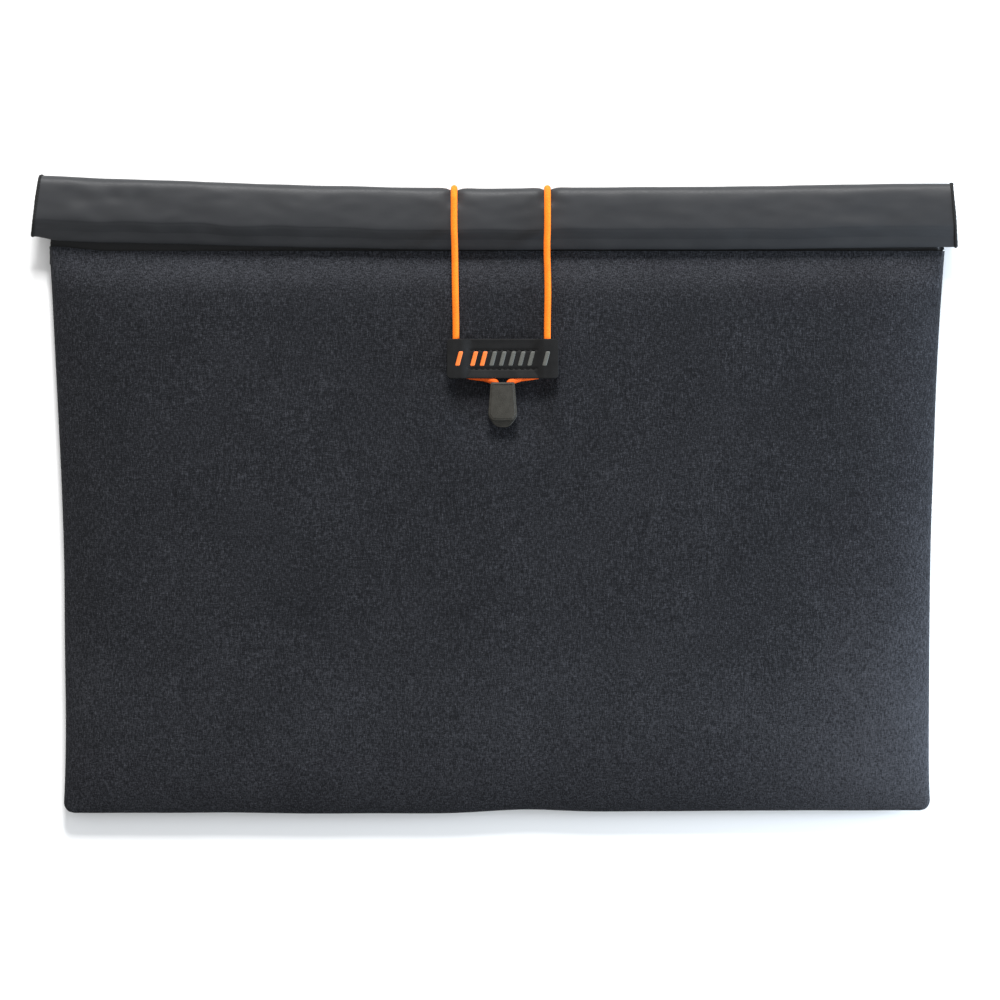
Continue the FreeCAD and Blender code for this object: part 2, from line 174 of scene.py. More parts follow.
def woven_fabric():
    """Mottled dark grey weave: light and dark yarn slubs along both thread directions. Painted light
    makes it slightly lighter in a band below the roll, low down, and in the lower right corner."""
    p = Paint("woven_fabric")
    across = p.noise(0.42, (0.2, 1.0, 1.0), 2.0)
    along = p.noise(0.4, (1.0, 0.16, 1.0), 2.0)
    yarn = p.math("ADD", p.math("MULTIPLY", across, 0.44), p.math("MULTIPLY", along, 0.56))
    speck = p.noise(0.34, (1, 1, 1), 1.0)
    mottle = p.math("ADD", p.math("MULTIPLY", yarn, 0.72), p.math("MULTIPLY", speck, 0.28))
    patchy = p.noise(35.0, (1, 1, 1), 2.0)
    where = p.node("SeparateXYZ", {"Vector": p.place()}).outputs
    toward_corner = p.math("SUBTRACT", where["X"], p.math("MULTIPLY", where["Y"], 0.55))
    # Painted light: the colour is lighter in a band below the roll, low down and in the lower right corner,
    # standing in for light falling there.
    top = p.rise(where["Y"], 0.106, 0.12, 0.05)
    corner = p.rise(toward_corner, 0.16, 0.32, 0.075)
    low = p.rise(where["Y"], -0.04, -0.12, 0.026)
    painted_light = p.math("ADD", p.math("ADD", top, low), corner)
    uneven = p.math("ADD", mottle, p.math("MULTIPLY", p.math("SUBTRACT", patchy, 0.5), 0.06))
    level = p.math("ADD", uneven, painted_light)
    dark, middle, light = (0.0028, 0.003, 0.0038), (0.0092, 0.0098, 0.0118), (0.048, 0.05, 0.058)
    colour = p.ramp(level, [(0.34, dark), (0.5, middle), (0.7, light)])
    wander = {"Detail": 1.0, "Detail Scale": 3.0}
    weave_x, weave_y = (p.bands(420.0, direction, 1.6, wander) for direction in "XY")
    height = p.math("ADD", p.math("MULTIPLY", p.math("MULTIPLY", weave_x, weave_y), 0.6), mottle)
    p.shade(Base_Color=colour, Roughness=0.92, Normal=p.bump(height, 0.22, 0.8))
    p.shader.inputs["Specular IOR Level"].default_value = 0.1
    p.shader.inputs["Sheen Weight"].default_value = 0.02
    p.shader.inputs["Sheen Roughness"].default_value = 0.5
    return p.material


def nylon(name, lightness):
    """Smooth coated nylon with a satin gloss and a very fine rib."""
    p = Paint(name)
    cloud = p.noise(9.0, (0.5, 1, 1), 3.0)
    fine = p.noise(0.7, (1, 1, 1), 2.0)
    tones = ((0.0125, 0.0132, 0.0148), (0.0165, 0.0173, 0.019))
    dark, light = [tuple(lightness * c for c in tone) for tone in tones]
    colour = p.ramp(cloud, [(0.3, dark), (0.7, light)])
    rough = p.ramp(fine, [(0.3, 0.5), (0.7, 0.6)])
    rib = p.bands(700.0, "DIAGONAL", 1.0)
    height = p.math("ADD", p.math("MULTIPLY", rib, 0.3), fine)
    p.shade(Base_Color=colour, Roughness=rough, Normal=p.bump(height, 0.06, 0.5))
    p.shader.inputs["Specular IOR Level"].default_value = 0.26
    return p.material


def shield_cloth():
    """Metallised ripstop cloth: silver-grey with a fine grid."""
    p = Paint("shield_cloth")
    grid = p.node("TexBrick", {"Vector": p.place(), "Scale": 120.0, "Color1": (0.42, 0.4, 0.37, 1),
                               "Color2": (0.37, 0.355, 0.33, 1), "Mortar": (0.22, 0.21, 0.2, 1),
                               "Mortar Size": 0.04}, offset=0.0)
    fine = p.noise(0.4, (1, 1, 1), 2.0)
    rough = p.ramp(fine, [(0.2, 0.35), (0.8, 0.55)])
    p.shade(Base_Color=grid.outputs["Color"], Roughness=rough, Normal=p.bump(fine, 0.05, 0.5))
    p.shader.inputs["Metallic"].default_value = 0.75
    return p.material


def plain_textile(name, dark, light, size):
    """Matt black textile, for tape, webbing and thread."""
    p = Paint(name)
    twill = p.bands(0.3 / (size * MM), "DIAGONAL", 0.6)
    fuzz = p.noise(size * 0.6, (1, 1, 1), 2.0)
    height = p.math("ADD", p.math("MULTIPLY", twill, 0.6), p.math("MULTIPLY", fuzz, 0.4))
    colour = p.ramp(height, [(0.2, dark), (0.8, light)])
    p.shade(Base_Color=colour, Roughness=0.85, Normal=p.bump(height, size * 0.3, 0.8))
    p.shader.inputs["Specular IOR Level"].default_value = 0.15
    return p.material


def soft_rubber():
    """Matt moulded rubber with a fine grain, a little dusty."""
    p = Paint("soft_rubber")
    grain = p.noise(0.35, (1, 1, 1), 2.0)
    dust = p.noise(6.0, (1, 1, 1), 3.0)
    colour = p.ramp(dust, [(0.3, (0.0068, 0.0068, 0.007)), (0.75, (0.0102, 0.0102, 0.0104))])
    rough = p.ramp(grain, [(0.3, 0.55), (0.7, 0.7)])
    p.shade(Base_Color=colour, Roughness=rough, Normal=p.bump(grain, 0.06, 0.6))
    p.shader.inputs["Specular IOR Level"].default_value = 0.1
    return p.material


def printed(name, dark, light):
    """A raised coloured bar on the patch."""
    p = Paint(name)
    grain = p.noise(0.5, (1, 1, 1), 2.0)
    colour = p.ramp(grain, [(0.25, dark), (0.75, light)])
    p.shade(Base_Color=colour, Roughness=0.6, Normal=p.bump(grain, 0.04, 0.5))
    return p.material


def tab_plastic():
    """Moulded plastic with a spark-eroded texture, warm dark grey."""
    p = Paint("tab_plastic")
    spark = p.noise(0.45, (1, 1, 1), 3.0)
    wear = p.noise(3.5, (1, 1, 1), 3.0)
    colour = p.mix(p.ramp(wear, [(0.35, 0.0), (0.75, 0.35)]),
                   p.ramp(spark, [(0.3, (0.0085, 0.0078, 0.0058)), (0.72, (0.0295, 0.027, 0.0205))]),
                   (0.045, 0.043, 0.036, 1))
    p.shade(Base_Color=colour, Roughness=0.6, Normal=p.bump(spark, 0.09, 0.8))
    p.shader.inputs["Specular IOR Level"].default_value = 0.3
    return p.material


def elastic_cord(name, gaps, yarns):
    """Braided orange sheath: warm yarns with darker gaps between them, paler in patches."""
    p = Paint(name)
    yarn = p.noise(0.45, (1, 1, 1), 2.0)
    tone = p.noise(14.0, (1, 1, 1), 2.0)
    pale_gaps, pale_yarns = [tuple(min(1, 1.25 * c) for c in tint) for tint in (gaps, yarns)]
    colour = p.mix(p.ramp(tone, [(0.3, 0.0), (0.7, 1.0)]), p.ramp(yarn, [(0.28, gaps), (0.62, yarns)]),
                   p.ramp(yarn, [(0.28, pale_gaps), (0.62, pale_yarns)]))
    p.shade(Base_Color=colour, Roughness=0.72, Normal=p.bump(yarn, 0.05, 0.7))
    p.shader.inputs["Specular IOR Level"].default_value = 0.2
    return p.material


def crimp_metal():
    """Brushed bare metal."""
    p = Paint("crimp_metal")
    scratch = p.noise(0.5, (1, 0.1, 1), 2.0)
    p.shade(Base_Color=p.ramp(scratch, [(0.2, 0.45), (0.8, 0.6)]), Roughness=0.4,
            Normal=p.bump(scratch, 0.03, 0.5))
    p.shader.inputs["Metallic"].default_value = 1.0
    return p.material


WOVEN = woven_fabric()
NYLON = nylon("nylon", 1.25)
# A darker copy of the same nylon: painted shade for the inner sheet, which lies in the roll's shadow.
NYLON_PAINTED_SHADE = nylon("nylon_painted_shade", 0.3)
SHIELD = shield_cloth()
TAPE = plain_textile("binding_tape", 0.008, 0.02, 0.7)
WEBBING = plain_textile("webbing", 0.01, 0.028, 1.1)
THREAD = plain_textile("thread", 0.002, 0.006, 0.5)
RUBBER = soft_rubber()
ORANGE_INK = printed("orange_ink", (0.62, 0.12, 0.01), (0.8, 0.16, 0.014))
PALE_INK = printed("pale_ink", (0.05, 0.052, 0.046), (0.078, 0.08, 0.07))
TAB = tab_plastic()
CORD = elastic_cord("elastic_cord", (0.6, 0.1, 0.004), (0.86, 0.185, 0.009))
# A darker, redder copy of the cord: painted shade for the strands under the patch's edge and the stubs that
# run on from them.
CORD_PAINTED_SHADE = elastic_cord("elastic_cord_painted_shade", (0.42, 0.05, 0.003), (0.66, 0.095, 0.006))
METAL = crimp_metal()

# ---------------------------------------------------------------- meshes


def add(name, points, faces, material, sharp=50.0):
    """A mesh piece from points in millimetres, smooth except over sharp edges."""
    mesh = bpy.data.meshes.new(name)
    mesh.from_pydata((np.asarray(points) * MM).tolist(), [], faces)
    mesh.materials.append(material)
    mesh.shade_smooth()
    mesh.set_sharp_from_angle(angle=math.radians(sharp))
    piece = bpy.data.objects.new(name, mesh)
    bpy.context.scene.collection.objects.link(piece)
    return piece


def quads(rows, columns, first=0, flip=False, wrap=False):
    """The faces of a grid whose points are stored row by row."""
    faces = []
    for r in range(rows - 1):
        for c in range(columns if wrap else columns - 1):
            d = (c + 1) % columns
            a = [first + r * columns + c, first + r * columns + d,
                 first + (r + 1) * columns + d, first + (r + 1) * columns + c]
            faces.append(a[::-1] if flip else a)
    return faces


def grid_normals(grid):
    """Unit normals of a (rows, columns, 3) grid."""
    along, across = np.gradient(grid, axis=0), np.gradient(grid, axis=1)
    normal = np.cross(across, along)
    return normal / np.maximum(np.linalg.norm(normal, axis=2, keepdims=True), 1e-9)


def sandwich(name, face, back, material, flip=False, sharp=50.0):
    """A closed sheet between two grids."""
    rows, columns = face.shape[:2]
    count = rows * columns
    faces = quads(rows, columns, flip=flip) + quads(rows, columns, count, flip=not flip)
    rim = [r * columns for r in range(rows)]
    rim += [(rows - 1) * columns + c for c in range(1, columns)]
    rim += [r * columns + columns - 1 for r in range(rows - 2, -1, -1)]
    rim += list(range(columns - 2, 0, -1))
    for a, b in zip(rim, rim[1:] + rim[:1]):
        quad = [a, b, b + count, a + count]
        faces.append(quad[::-1] if flip else quad)
    return add(name, np.concatenate([face.reshape(-1, 3), back.reshape(-1, 3)]), faces, material, sharp)


def smooth(x):
    """0 below 0, 1 above 1, and smooth between them."""
    x = np.clip(x, 0, 1)
    return x * x * (3 - 2 * x)


def bell(x, width):
    """1 at zero, falling away smoothly on both sides."""
    return np.exp(-(x / width) ** 2)


def waves(x, y, size, seed):
    """Smooth noise from about -1 to 1, with features of the given size."""
    flat = [noise.noise((a / size, b / size, seed * 7.3)) for a, b in zip(x.ravel(), y.ravel())]
    return np.array(flat).reshape(x.shape)


# ---------------------------------------------------------------- the elastic cord

LEG_LOW, LEG_HIGH = node_box("cord_leg_left")
LEG_DRIFT = 0.6
CORD_SLACK = 0.06
CORD_RADIUS = (LEG_HIGH[0] - LEG_LOW[0] - LEG_DRIFT) / 2 - CORD_SLACK
CORD_SIDES = 28
BRAID_PITCH = 5.2
BRAID_STRANDS = 8
BRAID_HEIGHT = 0.09


def spline(points):
    """Even points along the smooth line that a NURBS curve draws from a route."""
    data = bpy.data.curves.new("route", "CURVE")
    data.dimensions = "3D"
    data.resolution_u = 24
    line = data.splines.new("NURBS")
    line.points.add(len(points) - 1)
    for at, point in zip(line.points, points):
        at.co = (*point, 1)
    line.order_u = 3
    line.use_endpoint_u = True
    route = bpy.data.objects.new("route", data)
    bpy.context.scene.collection.objects.link(route)
    mesh = bpy.data.meshes.new_from_object(route)
    found = np.array([v.co for v in mesh.vertices])
    bpy.data.objects.remove(route)
    return found


def resample(line, step):
    """The same line with points a step apart."""
    gaps = np.linalg.norm(np.diff(line, axis=0), axis=1)
    at = np.concatenate([[0], np.cumsum(gaps)])
    count = max(int(round(at[-1] / step)), 2) + 1
    where = np.linspace(0, at[-1], count)
    return np.stack([np.interp(where, at, line[:, k]) for k in range(3)], axis=1), where


def tube_rings(line, radii, sides, guide=(1.0, 0.0, 0.0)):
    """Rings of points round a line. radii is an array (points, sides)."""
    ahead = np.gradient(line, axis=0)
    ahead /= np.linalg.norm(ahead, axis=1, keepdims=True)
    side = np.array(guide) - ahead * (ahead @ np.array(guide))[:, None]
    side /= np.linalg.norm(side, axis=1, keepdims=True)
    up = np.cross(ahead, side)
    turn = np.linspace(0, 2 * math.pi, sides, endpoint=False)
    circle = side[:, None] * np.cos(turn)[:, None] + up[:, None] * np.sin(turn)[:, None]
    return line[:, None] + circle * radii[..., None]


def closed_tube(name, line, radii, sides, material, guide=(1.0, 0.0, 0.0)):
    """A tube round a line, with capped ends."""
    rings = tube_rings(line, radii, sides, guide)
    count = len(line) * sides
    faces = quads(len(line), sides, wrap=True)
    points = np.concatenate([rings.reshape(-1, 3), [line[0], line[-1]]])
    last = (len(line) - 1) * sides
    for c in range(sides):
        d = (c + 1) % sides
        faces.append([count, d, c])
        faces.append([count + 1, last + c, last + d])
    return add(name, points, faces, material, 80.0)


def braided(name, route, sheath=CORD):
    """The cord along one stretch of its route, with its braided sheath."""
    line, along = resample(spline(route), 0.3)
    turn = np.linspace(0, 2 * math.pi, CORD_SIDES, endpoint=False)[None, :]
    phase = along[:, None] / BRAID_PITCH * 2 * math.pi
    half = BRAID_STRANDS / 2
    one, other = np.sin(half * turn + phase), np.sin(half * turn - phase)
    radii = CORD_RADIUS - BRAID_HEIGHT + BRAID_HEIGHT * np.maximum(np.abs(one), np.abs(other))
    level = abs(route[0][2] - route[-1][2]) < 3
    guide = (0.0, 0.0, 1.0) if level else (1.0, 0.0, 0.0)
    return closed_tube(name, line, radii, CORD_SIDES, sheath, guide)


CLOSURE_X = (node_box("patch_centre")[0][0] + node_box("patch_centre")[1][0]) / 2
LOOP_Y = joint_at("loop_lift")[1]
TAB_HINGE_Y, TAB_HINGE_Z = joint_at("tab_flip")[1:]
LEG_ROLL = {"left": -25.6, "right": 23.6}
LEG_PATCH = {"left": -24.6, "right": 23.5}
LEG_TOP_Z, LEG_Z = 20.65, 20.1
STRAND_TOP = 73.0
BACK_RUN_Z = 2.3


def over_roll(side):
    """From the loop's hinge on the front, round the roll's top edge, to the back."""
    x = CLOSURE_X + LEG_ROLL[side]
    up_and_over = [(LOOP_Y, LEG_TOP_Z), (154.0, 20.3), (159.2, 18.9), (162.4, 15.4), (163.1, 11.2),
                   (162.2, 6.6), (159.0, 3.2), (153.0, BACK_RUN_Z), (138.0, BACK_RUN_Z), (124.0, BACK_RUN_Z)]
    return [(x, y, z) for y, z in up_and_over]


def make_cord():
    """One elastic cord: both front legs, over the roll, and through the anchor behind."""
    behind = [(-24.8, 112.0), (-18.0, 104.0), (-7.0, 104.0), (7.0, 104.0), (18.0, 104.0), (24.8, 112.0)]
    middle = [(CLOSURE_X + x, y, BACK_RUN_Z) for x, y in behind]
    route = over_roll("left") + middle + over_roll("right")[::-1]
    back = braided("cord_over_and_behind", route)
    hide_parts("cord_back_run", "cord_over_roll_left", "cord_over_roll_right")
    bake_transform(back)
    for side, way in (("left", -1), ("right", 1)):
        top, low = CLOSURE_X + LEG_ROLL[side], CLOSURE_X + LEG_PATCH[side]
        bent = 0.4 * way
        leg = braided("cord_leg_" + side + "_braid", [
            (top, LOOP_Y, LEG_TOP_Z), (top, 141.0, 21.2), (top - bent, 131.0, 20.9),
            (low + bent, 110.0, 20.4), (low, 92.0, LEG_Z), (low, 82.0, LEG_Z), (low, STRAND_TOP, LEG_Z)])
        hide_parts("cord_leg_" + side)
        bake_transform(leg)
        near, into = CLOSURE_X + way * 3.4, CLOSURE_X + way * 2.6
        joined = (CLOSURE_X + way * 9.5, 62.6, 19.4)
        # The strands and stubs take the darker cord copy, as painted shade.
        strand = braided("cord_strand_" + side + "_braid", [
            (low, STRAND_TOP, LEG_Z), (low, 68.0, 20.0), (CLOSURE_X + way * 20.6, 64.4, 19.3),
            (CLOSURE_X + way * 15.0, 63.2, 19.3), joined], CORD_PAINTED_SHADE)
        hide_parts("cord_strand_" + side)
        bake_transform(strand)
        stub = braided("cord_stub_" + side, [
            joined, (CLOSURE_X + way * 6.2, 61.5, 20.2), (near + way * 0.5, 60.6, 21.0),
            (near, TAB_HINGE_Y, TAB_HINGE_Z), (into, 55.0, TAB_HINGE_Z), (into, 51.0, TAB_HINGE_Z)],
            CORD_PAINTED_SHADE)
        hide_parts("cord_strand_" + side)
        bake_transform(stub)


make_cord()

# ---------------------------------------------------------------- the body

PANEL_LOW, PANEL_HIGH = node_box("front_panel")
BOTTOM_Y, BODY_TOP_Y = PANEL_LOW[1], PANEL_HIGH[1]
CROWN_Z = PANEL_HIGH[2]
SEAM_Z = PANEL_LOW[2]
TOP_HALF_WIDTH = PANEL_HIGH[0]
BODY_ROWS, BODY_COLUMNS = 118, 174
EDGE_ROUND = 1.3
FABRIC_THICK = 1.1
SHIELD_THICK = 0.4
SHIELD_DEPTHS = (("outer", 1.3), ("inner", 1.9))
CORNER_RADIUS = 6.0
LEFT_RISE = 2.3
UNDER_ROLL_Z = 9.5


def half_width(up):
    """Half the body's width, at a height above its bottom edge: it narrows below its top."""
    wide = TOP_HALF_WIDTH - 8.4 + 1.38e-4 * (up - 50) ** 2 + 0.9 * np.exp(-up / 12)
    inside = np.clip(CORNER_RADIUS - up, 0, CORNER_RADIUS)
    return wide - CORNER_RADIUS + np.sqrt(CORNER_RADIUS ** 2 - inside ** 2)


def body_grid(inset, left_rise):
    """(x, y) of a panel's grid, and each point's distance from the side and bottom seams.
    left_rise is how far the panel's top left corner reaches up under the roll."""
    v = np.linspace(0, 1, BODY_ROWS)[:, None] ** 1.3
    u = np.linspace(-1, 1, BODY_COLUMNS)[None, :]
    u = 0.55 * u + 0.45 * np.sin(u * math.pi / 2)
    full = BODY_TOP_Y - BOTTOM_Y
    up = inset + v * (full - inset) + 0 * u
    half = half_width(up) - inset
    x = u * half
    side = half - np.abs(x)
    lift = 1.3 * smooth((x + 60) / 220) + 1.3 * bell(x - 14, 26) - 0.4 * bell(x + 60, 50)
    y = BOTTOM_Y + up + lift * (1 - v) ** 6
    y = y + 0.35 * waves(x, y, 40.0, 3) * (1 - v) ** 6
    y = y + left_rise * smooth((-x - 205) / 30) * smooth(1 - (BODY_TOP_Y - y) / 30)
    sway = 0.45 * waves(y, 0 * y + np.sign(x) * 50, 60.0, 5)
    return x + sway * smooth(1 - side / 40), y, side, up - inset


def edge_round(distance):
    """From 0 at a seam to 1 just inside it, as a quarter circle."""
    return np.sqrt(1 - (1 - np.clip(distance / EDGE_ROUND, 0, 1)) ** 2)


def front_height(x, y, side, low):
    """The front's height: up from the seams to a soft crown, down to the roll, and pressed in
    under the pull tab."""
    near = np.minimum(side, low)
    rise = (1 - np.exp(-side / 15)) * (1 - np.exp(-low / 17))
    z = SEAM_Z + 0.1 + 1.1 * edge_round(near) + (CROWN_Z - SEAM_Z - 1.4) * rise
    collar = np.minimum(z, UNDER_ROLL_Z)
    z = collar + (z - collar) * (1 - np.exp(-(np.clip(BODY_TOP_Y - 2 - y, 0, 90) / 13.5) ** 1.9))
    inside = smooth(near / 30)
    calm = 1 - 0.85 * bell(x - CLOSURE_X, 36) * bell(y - 75, 34)
    z = z + inside * calm * (0.55 * waves(x, y, 95.0, 11) + 0.28 * waves(x, y * 1.4, 42.0, 12) - 0.35)
    pressed = 2.1 * smooth((66.5 - y) / 4) * smooth((y - 20) / 26)
    pressed = pressed * smooth((31 - np.abs(x - CLOSURE_X)) / 14)
    return z + 0.12 * waves(x, y, 16.0, 13) * smooth(near / 8) * calm - pressed


def back_height(x, y, side, low):
    """The back's height: flat on the floor, and raised where the cord runs under it."""
    near = np.minimum(side, low)
    rise = (1 - np.exp(-side / 11)) * (1 - np.exp(-low / 11))
    z = SEAM_Z - 0.1 - 1.1 * edge_round(near) - (SEAM_Z - 1.3) * rise
    shelf = 4.5 * smooth((y - 52) / 38)
    return np.maximum(np.maximum(z, shelf), 0.1 + 0.15 * np.abs(waves(x, y, 30.0, 21)))


def layer(name, height, depth, way, thickness, material):
    """One layer of the body; depth is how far inside the outer face it lies."""
    x, y, side, low = body_grid(depth, LEFT_RISE if way > 0 else 0.0)
    z = height(x, y, side + depth, low + depth) - way * depth
    middle = SEAM_Z + way * 0.05
    z = way * np.maximum(way * z, way * middle)
    edge = edge_round(np.minimum(side, low))
    grid = np.stack([x, y, z], axis=2)
    inner = grid.copy()
    inner[..., 2] -= way * np.minimum(0.05 + thickness * edge, np.abs(z - SEAM_Z) + 0.02)
    return sandwich(name, grid, inner, material, flip=way < 0)


def make_body():
    """The front and back: fabric outside and two shielding plies inside each."""
    for side, height, way in (("front", front_height, 1), ("back", back_height, -1)):
        panel = layer(side + "_fabric", height, 0.0, way, FABRIC_THICK, WOVEN)
        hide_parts(side + "_panel")
        plies = [panel]
        for name, depth in SHIELD_DEPTHS:
            shield = layer(side + "_shield_" + name + "_cloth", height, depth, way, SHIELD_THICK, SHIELD)
            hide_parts(side + "_shield_" + name)
            plies.append(shield)
        for ply in plies:
            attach(ply, "pouch")


make_body()

# ---------------------------------------------------------------- the collar and its roll

# Control points down the rolled collar's section, as (y, z): first up the back, over the top
# and down the front to a valley, then round the lower fold and in to the hem's edge.
ROLL_OUTER = [(122, 5.9), (130, 5.7), (134, 4.8), (142, 4.5), (155, 4.7), (161.2, 6.8), (162.8, 11.2),
              (162.0, 15.2), (159.0, 17.5), (152.5, 18.6), (142.5, 19.2), (139.8, 18.6), (137.6, 17.3),
              (135.6, 15.8)]
ROLL_INNER = [(122, 8.0), (130, 8.3), (134.5, 9.6), (141, 10.1), (152, 10.2), (156.2, 10.7), (157.2, 11.9),
              (156.2, 13.1), (154.4, 13.5), (151, 13.7), (144, 14.1), (141, 14.2), (138.5, 14.2),
              (136.5, 14.1)]
HEM_OUTER = [(135.6, 15.8), (133.8, 15.0), (131.8, 14.0), (130.5, 12.9), (130.7, 11.9), (132.2, 11.3),
             (136, 11.1), (144.3, 11.1)]
HEM_INNER = [(136.5, 14.1), (135.2, 14.1), (134.2, 13.9), (133.5, 13.5), (133.4, 13.1), (134.2, 12.7),
             (137, 12.6), (144.3, 12.6)]
# Half widths at the seam, along the roll's top and its lower edge, inside the roll, and laid flat.
BASE_HALF = 235.0
TOP_HALF = (240.7, 239.5)
LOW_HALF = (245.2, 242.3)
INSIDE_HALF = 240.0
FLAT_HALF = 243
# How far the roll's ends lift, and how suddenly: its top, its lower edge, and its lower left corner.
TOP_LIFT, TOP_CURVE = (6.9, 2.7), (1.5, 1.2)
LOW_LIFT, LOW_CURVE = (5.2, 1.4), (1.42, 2.0)
CORNER_LIFT = 2.0
ROLL_TOP_Y, ROLL_DEPTH, RIDGE_Y = 162.6, 33.5, 139.5
BINDING_RADIUS, BINDING_SIDES, BINDING_STEP = 0.95, 12, 0.8
NYLON_THICK = 0.5
LINING_THICK = 0.3
ROLL_COLUMNS = 250
CORDS_X = (CLOSURE_X + LEG_ROLL["left"], CLOSURE_X + LEG_ROLL["right"])
# Each dent's middle (x, y), half width, half height and depth; a negative depth is a swelling.
DENTS = [(-221.5, 154.2, 7, 5, 0.9), (-201.4, 153.5, 5, 4, 0.8), (-187.6, 152.5, 6, 5, 0.7),
         (-221.5, 145.0, 7, 4, -0.7), (192, 149, 12, 4, 0.5), (207, 144, 8, 5, 0.6),
         (181, 142.5, 9, 3, -0.4), (-8, 147, 15, 3, -0.3), (-150, 148, 30, 4, -0.25)]


def sampled(controls, steps):
    """A smooth line through control points, with the same steps between each pair."""
    p = np.array(controls, float)
    p = np.concatenate([[2 * p[0] - p[1]], p, [2 * p[-1] - p[-2]]])
    t = np.linspace(0, 1, steps, endpoint=False)[:, None]
    parts = []
    for a, b, c, d in zip(p, p[1:], p[2:], p[3:]):
        parts.append(0.5 * (2 * b + (c - a) * t + (2 * a - 5 * b + 4 * c - d) * t ** 2
                            + (3 * b - a - 3 * c + d) * t ** 3))
    return np.concatenate(parts + [p[-2:-1]])


def dents(x, y):
    """How far the roll's face sinks at its dents and where each cord pinches it."""
    sunk = 0 * x
    for px, py, wide, tall, depth in DENTS:
        sunk = sunk + depth * np.exp(-((x - px) / wide) ** 2 - ((y - py) / tall) ** 2)
    for cord in CORDS_X:
        for lean, reach in ((-1.0, 9.0), (1.0, 9.0), (-0.45, 5.0), (0.5, 6.0)):
            off = (x - cord) - lean * (163 - y)
            near = np.exp(-((x - cord) / (reach * 1.6)) ** 2)
            near = near * smooth((163 - y) / 4) * smooth((y - 140) / 14)
            sunk = sunk + 0.3 * near * np.exp(-(off / 2.2) ** 2)
    return 0.62 * sunk


def roll_grid(controls, steps, squeeze):
    """(rows, columns, 3) points of a collar sheet, and each point's y before the ends lift.
    squeeze is how uneven the ridge along its lower edge is."""
    line = sampled(controls, steps)
    u = np.linspace(-1, 1, ROLL_COLUMNS)[None, :]
    u = 0.8 * u + 0.2 * np.sin(u * math.pi / 2)
    y, z = line[:, :1] + 0 * u, line[:, 1:] + 0 * u
    front = smooth((z - 4.8) / 5)
    down = np.clip((ROLL_TOP_Y - y) / ROLL_DEPTH, 0, 1)
    inside = smooth((y - 131) / 6) * smooth((13.4 - z) / 0.8) * smooth((z - 10.6) / 0.4)
    right = u > 0
    half = BASE_HALF * (1 - front) + front * ((1 - down) * np.where(right, TOP_HALF[1], TOP_HALF[0])
                                              + down * np.where(right, LOW_HALF[1], LOW_HALF[0]))
    half = half + (INSIDE_HALF - half) * inside
    x = u * half
    far = np.abs(u)
    top = np.where(right, TOP_LIFT[1] * far ** TOP_CURVE[1], TOP_LIFT[0] * far ** TOP_CURVE[0])
    low = np.where(right, LOW_LIFT[1] * far ** LOW_CURVE[1], LOW_LIFT[0] * far ** LOW_CURVE[0])
    low = low + np.where(right, 0.0, CORNER_LIFT * smooth((far - 0.94) / 0.06))
    lift = front * ((1 - down) * top + down * low)
    ridge = front * bell(y - RIDGE_Y, 5.5) * squeeze
    lift = lift + ridge * (1.7 * waves(x, 0 * x, 26.0, 31) * (0.5 + smooth(-(x + 90) / 120))
                           - 1.7 * smooth((-x - 150) / 80))
    lift = lift + front * (0.5 * waves(x, 0 * x, 80.0, 33) + 0.25 * waves(x, 0 * x, 22.0, 34))
    return np.stack([x, y + lift, z], axis=2), y


def outer_sheet(controls, steps):
    """The collar's outside, with its dents, waves and the grooves under the cords."""
    grid, flat_y = roll_grid(controls, steps, 1.0)
    x, z = grid[..., 0], grid[..., 2]
    face = smooth((z - 12.5) / 4)
    sunk = dents(x, flat_y) * face
    long_waves, short_waves = waves(x, flat_y * 2.2, 34.0, 41), waves(x, flat_y * 2.5, 12.0, 42)
    sunk = sunk - face * (0.32 * long_waves + 0.2 * short_waves)
    round_top = smooth((z - 5.5) / 2) * smooth((flat_y - 151) / 6)
    for cord in CORDS_X:
        sunk = sunk + (1.5 * bell(x - cord, 2.8) - 0.15 * bell(np.abs(x - cord) - 8, 4)) * round_top
        sunk = sunk + 0.35 * bell(x - cord, 4.0) * face * smooth((flat_y - 139) / 3)
    return grid + grid_normals(grid) * sunk[..., None]


def inner_sheet(controls, steps, outer):
    """The collar's other side, which meets the outer sheet at the side seams."""
    grid = roll_grid(controls, steps, 0.0)[0]
    far = np.abs(np.linspace(-1, 1, ROLL_COLUMNS))[None, :, None] * FLAT_HALF
    inward = outer + grid_normals(outer) * 1.2
    close = smooth((far - 232) / 10.5) * 0.96
    return grid + (inward - grid) * close


def between(outer, inner, share):
    """A sheet part of the way from the outer one to the inner one."""
    return outer * (1 - share) + inner * share


def path_length(controls):
    """How long the smooth line through control points is."""
    return float(np.linalg.norm(np.diff(sampled(controls, 20), axis=0), axis=1).sum())


def collar_piece(name, face, back, nodes, material, flip):
    """One folded sheet, a closed shell between two faces, in place of its CAD nodes."""
    piece = sandwich(name, face, back, material, flip=flip)
    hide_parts(*nodes)
    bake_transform(piece)


def side_binding(name, outer, inner, column, nodes, start=0):
    """A bound edge along one side of the collar."""
    line = resample((outer[:, column] * 0.7 + inner[:, column] * 0.3)[start:], BINDING_STEP)[0]
    way = 1 if column else -1
    line[:, 0] += way * 0.1
    turn = np.linspace(0, 2 * math.pi, BINDING_SIDES, endpoint=False)[None, :]
    at = np.linspace(0, len(line) * BINDING_STEP, len(line))[:, None]
    radii = BINDING_RADIUS + 0.07 * np.sin(turn * 2 + at * 2.4) + 0.06 * np.sin(at * 0.35)
    piece = closed_tube(name, line, radii, BINDING_SIDES, TAPE)
    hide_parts(*nodes)
    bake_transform(piece)


